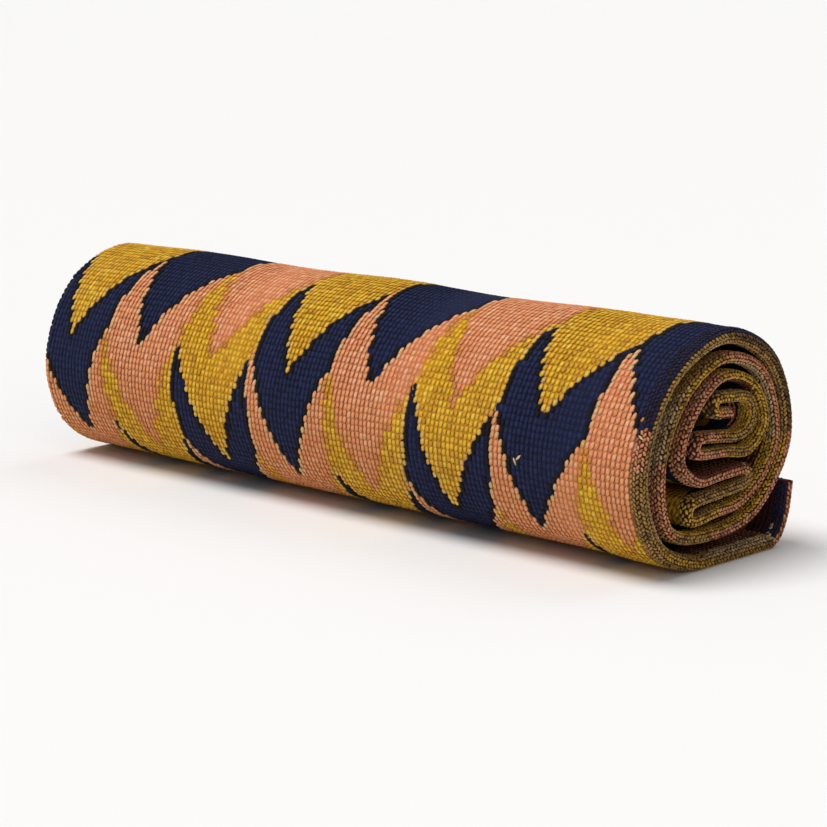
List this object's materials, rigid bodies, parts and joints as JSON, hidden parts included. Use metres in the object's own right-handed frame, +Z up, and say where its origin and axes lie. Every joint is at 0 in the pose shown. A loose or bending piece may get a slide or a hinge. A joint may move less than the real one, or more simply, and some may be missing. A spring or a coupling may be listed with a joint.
{
  "type": "rolled kente cloth",
  "caption": "A handwoven kente cloth with flame zigzags in navy, gold and coral, folded in two along its length and rolled up, its spiral showing at the end.",
  "frame": {"origin": "on the surface that the roll lies on, below the middle of its box", "axes": "+X along the roll's axis towards the folded edge, which shows the spiral; -Y towards the front; +Z up"},
  "size_m": [0.2258, 0.065, 0.0608],
  "materials": {
    "kente": "handwoven yarn, matt"
  },
  "bodies": {
    "root": {"cloth_roll": "kente"}
  },
  "joints": []
}
